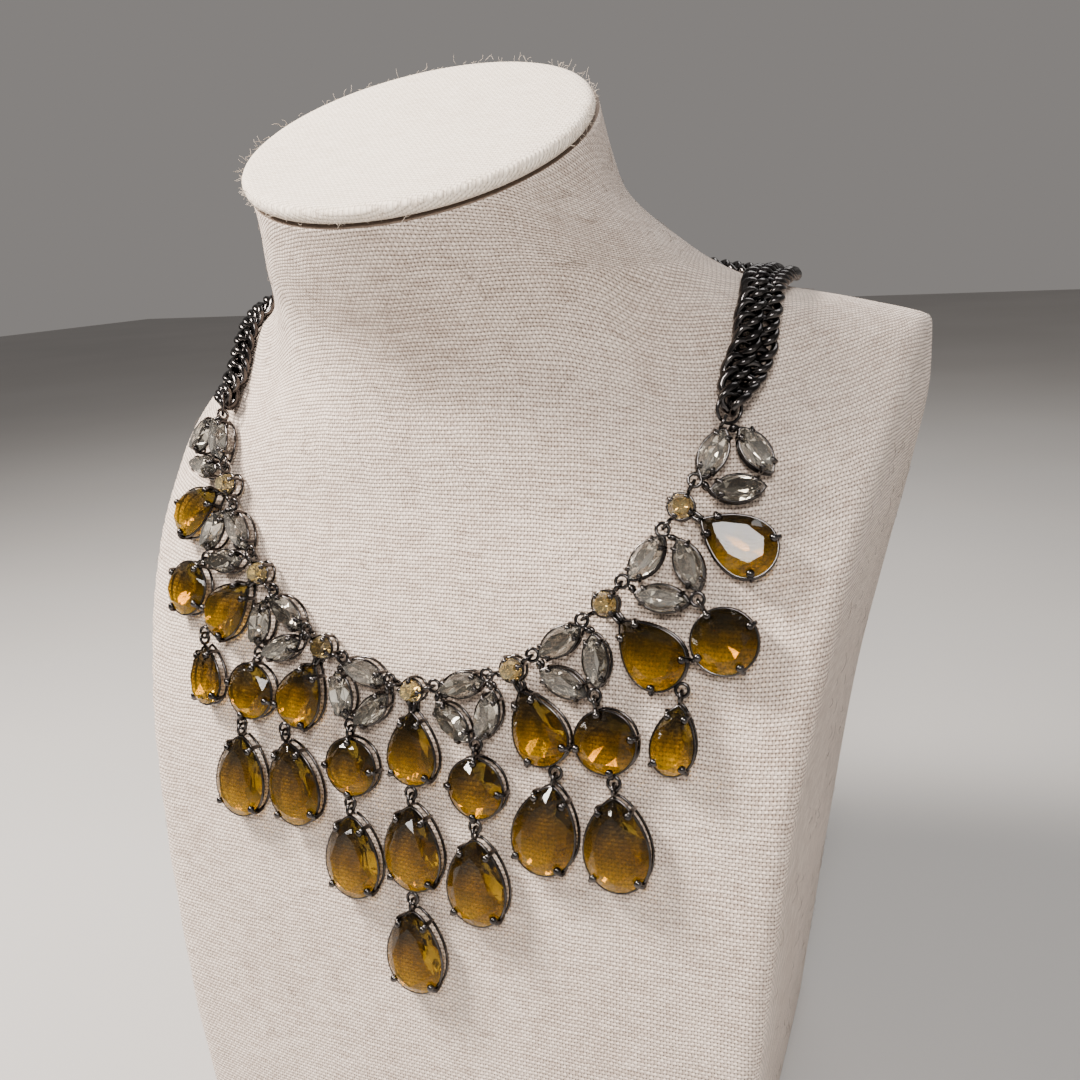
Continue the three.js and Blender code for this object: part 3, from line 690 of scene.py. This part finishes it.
cap_faces += [[bottom, last_ring + (k + 1) % count, last_ring + k] for k in range(count)]
cap_place = turned(CAP_TILT, "X")
cap_place[:3, 3] = cap_middle
flat_cap = np.array(cap_corners)
cap = make_object("linen_cap", transform((flat_cap, cap_faces), cap_place), fine_linen,
                  replaces=["bust_cap"])
cap_map = cap.data.uv_layers.new(name="cloth")
for loop in cap.data.loops:
    x, y, z = flat_cap[loop.vertex_index]
    cap_map.data[loop.index].uv = (x, y - 0.9 * (z - CAP_THICKNESS / 2))


# Stones.
def outline_point(stone, overhang, turn):
    """Outline of a stone with its point up, grown or shrunk by an overhang."""
    kind, length, width, taper = stone
    half_length, half_width = length / 2 + overhang, width / 2 + overhang
    y = math.cos(turn) * half_length
    side = -math.sin(turn)
    if kind == "pear":
        widest = math.atan(math.sqrt(1 + taper))
        full_width = math.sin(2 * widest) * math.sin(widest) ** taper
        return np.array([half_width * side * math.sin(turn / 2) ** taper / full_width, y])
    if kind == "leaf":
        radius = (half_length**2 + half_width**2) / (2 * half_width)
        bulge = max(0.0, math.sqrt(max(0.0, radius**2 - y**2)) - radius + half_width)
        return np.array([math.copysign(bulge, side) if bulge else 0.0, y])
    return np.array([half_width * side, y])


def outline(stone, overhang, count, z, start=0.0):
    turns = start + 2 * math.pi * np.arange(count) / count
    return np.array([(*outline_point(stone, overhang, turn % (2 * math.pi)), z) for turn in turns])


def cut_stone(stone, mains=8, base=0.35):
    """Crown with a table, star, kite and girdle facets over a pavilion."""
    width = stone[2]
    girdle = UPPER_RAIL + 0.25
    table_high = UPPER_RAIL + CROWN_RISE
    inset = -0.2 * width
    fine = 2 * mains
    table = outline(stone, inset, mains, table_high)
    half_turn = math.pi / mains
    star = outline(stone, 0.5 * inset, mains, table_high - 0.42 * (table_high - girdle), half_turn)
    rim = outline(stone, -0.05, 2 * fine, girdle)
    low_rim = rim - np.array([0, 0, 0.3])
    belt = outline(stone, -0.26 * width, mains, girdle - 0.3 - 0.55 * (girdle - base), half_turn)
    keel = outline(stone, -0.43 * width, mains, base)
    corners = np.vstack([table, star, rim, low_rim, belt, keel])
    t, s, r = 0, mains, 2 * mains
    lr = r + 2 * fine
    b = lr + 2 * fine
    k = b + mains
    faces = [list(range(mains))]
    for i in range(mains):
        j = (i + 1) % mains
        a, q, m, v, n = (4 * i + step for step in range(5))
        n %= 2 * fine
        before = s + (i - 1) % mains
        faces += [
            [t + i, s + i, t + j],
            [t + i, before, r + a, s + i],
            [s + i, r + a, r + q],
            [s + i, r + q, r + m],
            [s + i, r + m, r + v],
            [s + i, r + v, r + n],
            [lr + a, b + i, lr + q],
            [lr + q, b + i, lr + m],
            [lr + m, b + i, lr + v],
            [lr + v, b + i, lr + n],
            [lr + n, b + i, k + j, b + j],
        ]
        for one in range(4):
            p, p2 = 4 * i + one, (4 * i + one + 1) % (2 * fine)
            faces.append([r + p, lr + p, lr + p2, r + p2])
        faces.append([b + i, k + i, k + j])
    faces.append([k + i for i in range(mains)][::-1])
    return corners, faces


def stone_object(name, stone, matrix, material, mains=8, seed=0):
    shape = cut_stone(stone, mains)
    obj = make_object(name, transform(shape, matrix), material, smooth=False)
    width = stone[2]
    # The painted shade at the top and the painted light at the bottom follow up on the bust, whichever way the
    # stone itself is turned.
    up = matrix[:3, :3].T @ Z
    up = unit(np.array([up[0], up[1], 0]))
    across = np.array([up[1], -up[0], 0])
    local = shape[0]
    reach = max(abs(local @ up))
    spot = np.column_stack([local @ across / (width / 2), local @ up / reach, local[:, 2] / 5])
    attribute = obj.data.attributes.new("spot", "FLOAT_VECTOR", "POINT")
    attribute.data.foreach_set("vector", spot.astype(np.float32).ravel())
    # Painted reflections: a random shade for each facet, which the stone's material multiplies into its colour.
    dice = random.Random(seed)
    facet_reflection_tones = [dice.random() for _ in obj.data.polygons]
    obj.data.attributes.new("tone", "FLOAT", "FACE").data.foreach_set("value", facet_reflection_tones)
    heights = [sum(local[k][2] for k in face) / len(face) for face in shape[1]]
    backs = [float(height < UPPER_RAIL) for height in heights]
    obj.data.attributes.new("back", "FLOAT", "FACE").data.foreach_set("value", backs)
    return obj


# Settings.
CLAW_TURNS = {"pear": [42, 138, 222, 318], "round": [0, 90, 180, 270], "leaf": [45, 135, 225, 315]}


# The way of a claw up the side of a setting and over the stone: overhang and height.
CLAW_PATH = [(0.1, 0.3), (0.3, 1.2), (0.45, 2.3), (0.45, 3.0), (0.1, 3.5), (-0.6, 3.7)]


def setting(stone, claw_size=1.0):
    """Two gallery rails with four claws that end in balls on the stone."""
    kind = stone[0]
    wire = RAIL_WIRE / 2
    shapes = []
    for z in (wire, UPPER_RAIL):
        points = outline(stone, RAIL_OVERHANG - wire, 56, z)
        shapes.append(tube(points, wire, 8, closed=True))
    for claw in CLAW_TURNS[kind]:
        turn = math.radians(claw)
        path = []
        for overhang, z in CLAW_PATH:
            path.append((*outline_point(stone, overhang * claw_size, turn), z))
        thick = 0.5 * claw_size
        shapes.append(tube(path, thick, 7, widths=[0.9, 0.9, 1, 1, 1, 1], up=np.array([0.3, 0.1, 1])))
        shapes.append(ball(path[-1], 0.8 * claw_size, (1, 1, 0.85), 8, 12))
    return joined(shapes)


def flat_loop(x, y):
    return transform(ring(LOOP_RADIUS, LOOP_WIRE), moved(x, y, UPPER_RAIL))


def edge_loop(x, y, turn):
    return transform(ring(LOOP_RADIUS, LOOP_WIRE), moved(x, y, UPPER_RAIL) @ turned(turn) @ turned(90, "X"))


def bar(start, end, radius):
    points = [np.array(start) + (np.array(end) - np.array(start)) * t for t in (0, 0.33, 0.67, 1)]
    return tube(points, radius, 7, up=np.array([0.3, 0.9, 0.3]))


STATION_DROPS = [
    [("centre_drop_upper", LONG_PEAR, 0), ("centre_drop_lower", LONG_PEAR, 0)],
    [("station_1_drop", LONG_PEAR, -10)],
    [("station_2_drop", SMALL_PEAR, -8)],
    [],
]
CLUSTER_DROPS = [
    [("cluster_1_round", ROUND_STONE, 0), ("cluster_1_drop", LONG_PEAR, 0)],
    [("cluster_2_round", ROUND_STONE, 14.5), ("cluster_2_drop", LONG_PEAR, 3)],
    [("cluster_3_round", ROUND_STONE, 33)],
    [],
]
stone_count = 0


def add_stone(name, stone, matrix, side, material=amber, mains=8):
    global stone_count
    stone_count += 1
    stone_object(name, stone, side @ matrix, material, mains, seed=stone_count)


def add_metal(name, shapes, side, node):
    make_object(name, transform(joined(shapes), side), metal, replaces=[node])


def hang_drops(start, column, side, suffix):
    for i, (name, stone, lean) in enumerate(column):
        reach = edge_of(stone) + LOOP_REACH
        way = plumb(seat(start)[1], lean)
        middle = on_linen(start + (LINK_STEP + reach) * way)
        down = towards(start, middle)
        centre = start + (LINK_STEP + reach) * down
        place = place_at(centre, -down, seat(centre)[1])
        shapes = [setting(stone), edge_loop(0, reach, 90)]
        if i < len(column) - 1:
            shapes.append(flat_loop(0, -reach))
        shapes = [transform(shape, place) for shape in shapes]
        add_metal(name + suffix + "_setting", shapes, side, name + suffix)
        add_stone(name + suffix + "_stone", stone, place, side)
        start = centre + reach * down


def add_station(i, side, suffix):
    here = small_stones[i]
    normal = seat(here)[1]
    after = cluster_frames[i]["inner"]
    before = after * [-1, 1, 1] if i == 0 else cluster_frames[i - 1]["outer"]
    across = unit(np.cross(towards(before, after), normal))
    pear_middle = on_linen(here + SOLDERED_PEAR_DROP * across)
    down = towards(here, pear_middle)
    pear_middle = here + SOLDERED_PEAR_DROP * down
    station = place_at(here, -down, normal)
    pear_normal = seat(pear_middle)[1]
    pear_way = unit(down - (down @ pear_normal) * pear_normal)
    pear_place = place_at(pear_middle, -pear_way, pear_normal)
    to_local = np.linalg.inv(station)
    shapes = [transform(setting(TINY_STONE, 0.72), station), transform(setting(SHORT_PEAR), pear_place)]
    top, bottom = edge_of(TINY_STONE) - 0.5, SOLDERED_PEAR_DROP - edge_of(SHORT_PEAR) + 0.5
    for x in (-0.55, 0.55):
        shapes.append(transform(bar((x, -top, UPPER_RAIL), (x * 0.6, -bottom, UPPER_RAIL), 0.38), station))
        shapes.append(transform(bar((x, -top, 0.5), (x * 0.6, -bottom, 0.5), 0.38), station))
    middle = np.array([0, 0, UPPER_RAIL])
    for loop in (before, after):
        local = at(to_local, loop)
        way = towards(middle, local)
        centre = local - LINK_STEP * way
        turn = math.degrees(math.atan2(way[1], way[0]))
        loop_shape = transform(edge_loop(0, 0, turn), moved(centre[0], centre[1], centre[2] - UPPER_RAIL))
        shapes.append(transform(loop_shape, station))
    column = STATION_DROPS[i]
    if column:
        shapes.append(transform(flat_loop(0, -edge_of(SHORT_PEAR) - LOOP_REACH), pear_place))
    name = f"station_{i}{suffix}"
    add_metal(name + "_setting", shapes, side, name)
    add_stone(name + "_pear", SHORT_PEAR, pear_place, side)
    add_stone(name + "_small_stone", TINY_STONE, station, side, champagne)
    hang_drops(pear_middle + (edge_of(SHORT_PEAR) + LOOP_REACH) * pear_way, column, side, suffix)


def add_cluster(i, side, suffix):
    place = cluster_frames[i]["place"]
    column = CLUSTER_DROPS[i]
    name = f"cluster_{i + 1}{suffix}"
    to_leaf = CLUSTER_PITCH / math.sqrt(3)
    spin = place @ moved(0, CLUSTER_MIDDLE)
    shapes = []
    for k, third in enumerate((0, 120, 240)):
        leaf_place = spin @ turned(third) @ moved(0, to_leaf) @ turned(90)
        shapes.append(transform(setting(LEAF_STONE, 0.78), leaf_place))
        add_stone(f"{name}_leaf_{k + 1}", LEAF_STONE, leaf_place, side, clear, mains=8)
    for corner in (118, 242):
        reach = math.hypot(to_leaf, edge_of(LEAF_STONE)) - 0.2
        for z in (0.6, UPPER_RAIL):
            joint = ball((0, -reach, z), 0.6, (1.6, 1, 0.8))
            shapes.append(transform(joint, spin @ turned(corner)))
    outer_x = CLUSTER_SPAN / 2
    outer_loop = edge_loop(outer_x, 0, 0) if i == 3 else flat_loop(outer_x, 0)
    shapes += [transform(flat_loop(-outer_x, 0), place), transform(outer_loop, place)]
    if column:
        shapes.append(transform(flat_loop(0, -CLUSTER_DROP), place))
    add_metal(name + "_setting", shapes, side, name)
    hang_drops(at(place, (0, -CLUSTER_DROP, UPPER_RAIL)), column, side, suffix)


# Chains: on each side two strands of curb links.
LINK_PITCH = 3.15
LINK_HALF_LENGTH = 2.58
LINK_HALF_WIDTH = 2.1
LINK_RISE = 0.8
LINK_WIRE = 1.6
STRAND_OFFSET = 1.75
GATHERED_OFFSET = 0.75
STRAND_ROLL = -24
LINK_SKEW = -8
GATHERED_ROLL = 62


def curb_link(width=1.0, rise=1.0):
    """A link whose ends are twisted against one another, so that it passes through the next one."""
    turns = np.linspace(0, 2 * math.pi, 26, endpoint=False)
    points = np.column_stack([
        LINK_HALF_LENGTH * np.cos(turns),
        LINK_HALF_WIDTH * width * np.sin(turns),
        LINK_RISE * rise * np.sin(2 * turns),
    ])
    return tube(points, LINK_WIRE / 2, 8, closed=True)


def catmull(points, samples):
    """Smooth curve through points, sampled at even distances."""
    points = [2 * points[0] - points[1], *points, 2 * points[-1] - points[-2]]
    fine = []
    for a, b, c, d in zip(points, points[1:], points[2:], points[3:]):
        for t in np.linspace(0, 1, 40, endpoint=False):
            fine.append(0.5 * (2 * b + (c - a) * t + (2 * a - 5 * b + 4 * c - d) * t**2
                               + (3 * b - a - 3 * c + d) * t**3))
    fine.append(points[-2])
    fine = np.array(fine)
    travelled = np.concatenate([[0], np.linalg.norm(np.diff(fine, axis=0), axis=1).cumsum()])
    wanted = np.linspace(0, travelled[-1], samples)
    return np.column_stack([np.interp(wanted, travelled, fine[:, c]) for c in range(3)]), travelled[-1]


nape = on_linen((0, NAPE_BACK * BUST_DEPTH, NAPE_HEIGHT * BUST_HEIGHT))


def add_chain(suffix, side):
    along, face = neck_end["along"], neck_end["face"]
    start = end_ring_centre + (END_RING_RADIUS + 0.2) * along
    end = nape + X * (CLASP_LENGTH - CLASP_WALL) / 2
    route = [np.array(p) * [SHOULDER_WIDTH, BUST_DEPTH, BUST_HEIGHT] for p in CHAIN_ROUTES[suffix]]
    points, length = catmull([start, *route, end + X * 1.2], 400)
    count = round(length / LINK_PITCH)
    shapes = []
    stretch = np.linspace(0, 1, count)
    spots = np.column_stack([np.interp(stretch, np.linspace(0, 1, 400), points[:, c]) for c in range(3)])
    lifted, normals = [], []
    for spot, share in zip(spots, stretch):
        foot, normal = seat(spot)
        near = min(share, 1 - share) * length / 7
        blend = min(1.0, near)
        height = LOOP_LEVEL + (CHAIN_GAP + CHAIN_THICKNESS / 2 - LOOP_LEVEL) * blend
        lifted.append(foot + height * normal)
        normals.append(normal)
    lifted = np.array(lifted)
    for i in range(count):
        way = unit(lifted[min(count - 1, i + 1)] - lifted[max(0, i - 1)])
        normal = unit(normals[i] - (normals[i] @ way) * way)
        sideways = np.cross(normal, way)
        near = min(i, count - 1 - i) * LINK_PITCH / 7
        blend = min(1.0, near)
        for strand in (-1, 1):
            offset = strand * (GATHERED_OFFSET + (STRAND_OFFSET - GATHERED_OFFSET) * blend)
            place = np.eye(4)
            place[:3, :3] = np.column_stack([way, sideways, normal])
            place[:3, 3] = lifted[i] + offset * sideways
            rolled = STRAND_ROLL * min(1.0, 2.4 * (1 - i / count))
            tip = strand * GATHERED_ROLL * (1 - blend) + rolled * blend
            shapes.append(transform(curb_link(), place @ turned(tip, "X") @ turned(LINK_SKEW * blend)))
    make_object("chain_links" + suffix, transform(joined(shapes), side), metal, replaces=["chain" + suffix])


def add_end_ring(suffix, side):
    along, face = neck_end["along"], neck_end["face"]
    normal = np.array(Matrix.Rotation(math.radians(END_RING_TURN), 3, Vector(along)) @ Vector(face))
    place = np.eye(4)
    place[:3, :3] = np.column_stack([along, np.cross(normal, along), normal])
    place[:3, 3] = end_ring_centre
    shape = transform(ring(END_RING_RADIUS, LOOP_WIRE, 36, 8), side @ place)
    make_object("end_ring_wire" + suffix, shape, metal, replaces=["end_ring" + suffix])


add_station(0, np.eye(4), "")
for side, suffix in ((np.eye(4), "_right"), (MIRROR, "_left")):
    for i in (1, 2, 3):
        add_station(i, side, suffix)
    for i in range(4):
        add_cluster(i, side, suffix)
    add_end_ring(suffix, side)
    add_chain(suffix, side)

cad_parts["clasp"].data.materials.clear()
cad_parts["clasp"].data.materials.append(metal)


# Loose fibres that stand off the weave.
def fibres(count):
    dice = random.Random(7)
    shapes = []
    while len(shapes) < count:
        row, column = dice.randrange(8, rows - 6), dice.randrange(AROUND)
        p = rings[row, column]
        level_way = unit(rings[row, (column + 1) % AROUND] - p)
        up_way = unit(rings[row + 1, column] - p)
        out = unit(np.cross(level_way, up_way))
        angle = dice.uniform(0, 2 * math.pi)
        way = math.cos(angle) * level_way + math.sin(angle) * up_way
        side = np.cross(out, way)
        length, bow = dice.uniform(1.2, 4.5), dice.uniform(-0.9, 0.9)
        lift = dice.uniform(0.15, 0.5)
        points = [
            p + out * (0.02 + lift * math.sin(math.pi * t)) + way * length * (t - 0.5) + side * bow * math.sin(math.pi * t)
            for t in np.linspace(0, 1, 6)
        ]
        shapes.append(tube(points, 0.035, 3, up=out))
    return joined(shapes)


def rim_fibres(count):
    """Fuzz that stands off the rim of the cap."""
    dice = random.Random(11)
    shapes = []
    for _ in range(count):
        turn = dice.uniform(0, 2 * math.pi)
        out = unit(np.array([math.sin(turn) / CAP_WIDTH, -math.cos(turn) / CAP_DEPTH, 0]))
        foot = np.array([
            CAP_WIDTH / 2 * math.sin(turn),
            -CAP_DEPTH / 2 * math.cos(turn),
            dice.uniform(-0.3, 0.5) * CAP_THICKNESS,
        ]) - 0.15 * out
        level_way = np.cross(Z, out)
        way = unit(level_way * dice.uniform(-1, 1) + Z * dice.uniform(-0.3, 0.8) + out * dice.uniform(0.1, 0.7))
        length, bow = dice.uniform(0.7, 2.2), dice.uniform(-0.5, 0.5)
        side = np.cross(out, way)
        points = [foot + way * length * t + side * bow * math.sin(math.pi * t) for t in np.linspace(0, 1, 6)]
        shapes.append(tube(points, 0.03, 3, up=out))
    return transform(joined(shapes), cap_place)


make_object("loose_fibres", fibres(900), linen)
make_object("rim_fibres", rim_fibres(420), fine_linen)

# Camera at the photograph's viewing angle.
camera_data = bpy.data.cameras.new("camera")
camera_data.lens = 35.85
camera_data.sensor_width = 36
camera_data.clip_start = 0.01
camera = bpy.data.objects.new("camera", camera_data)
bpy.context.scene.collection.objects.link(camera)
right = Vector((0.91041081, 0.40978186, -0.05684175))
upwards = Vector((-0.05982064, 0.26634708, 0.96201909))
backwards = Vector((0.40935761, -0.87243227, 0.26699867))
turn = Matrix((right, upwards, backwards)).transposed().to_4x4()
camera.matrix_world = Matrix.Translation(Vector((109.098, -210.0, 200.265)) * MM) @ turn
bpy.context.scene.camera = camera

# Pale floor.
floor_mesh = bpy.data.meshes.new("floor")
floor_mesh.from_pydata([(-3, -3, 0), (3, -3, 0), (3, 3, 0), (-3, 3, 0)], [], [[0, 1, 2, 3]])
floor = bpy.data.objects.new("floor", floor_mesh)
bpy.context.scene.collection.objects.link(floor)
g = Graph("pale_floor")
floor_spot = g.node("ShaderNodeTexCoord").outputs["Object"]
g.set(Base_Color=g.ramp(g.noise(floor_spot, 3.0), [(0.3, (0.42, 0.41, 0.4)), (0.7, (0.46, 0.45, 0.44))]))
g.shader.inputs["Roughness"].default_value = 0.7
floor_mesh.materials.append(g.material)


def area_light(name, place, aim, size, power, colour=(1, 1, 1)):
    data = bpy.data.lights.new(name, "AREA")
    data.shape = "RECTANGLE"
    data.size, data.size_y = size
    data.energy = power
    data.color = colour
    light = bpy.data.objects.new(name, data)
    bpy.context.scene.collection.objects.link(light)
    light.location = place
    light.rotation_euler = (Vector(place) - Vector(aim)).to_track_quat("Z", "Y").to_euler()


area_light("key", (-0.35, -0.22, 0.6), (0, 0, 0.14), (0.16, 0.16), 15.0, (1.0, 0.92, 0.84))
area_light("front", (0.22, -0.55, 0.56), (0.04, -0.04, 0.15), (0.19, 0.145), 5.0, (1.0, 0.96, 0.93))
area_light("fill", (0.8, -0.5, 0.3), (0, 0, 0.12), (0.8, 0.6), 1.2, (1.0, 0.98, 0.95))
area_light("rim", (0.2, 0.5, 0.8), (0, 0, 0.12), (0.6, 0.4), 3.0)
world = bpy.data.worlds.new("studio")
world.use_nodes = True
world.node_tree.nodes["Background"].inputs["Color"].default_value = (1.0, 0.94, 0.9, 1)
world.node_tree.nodes["Background"].inputs["Strength"].default_value = 0.24
bpy.context.scene.world = world
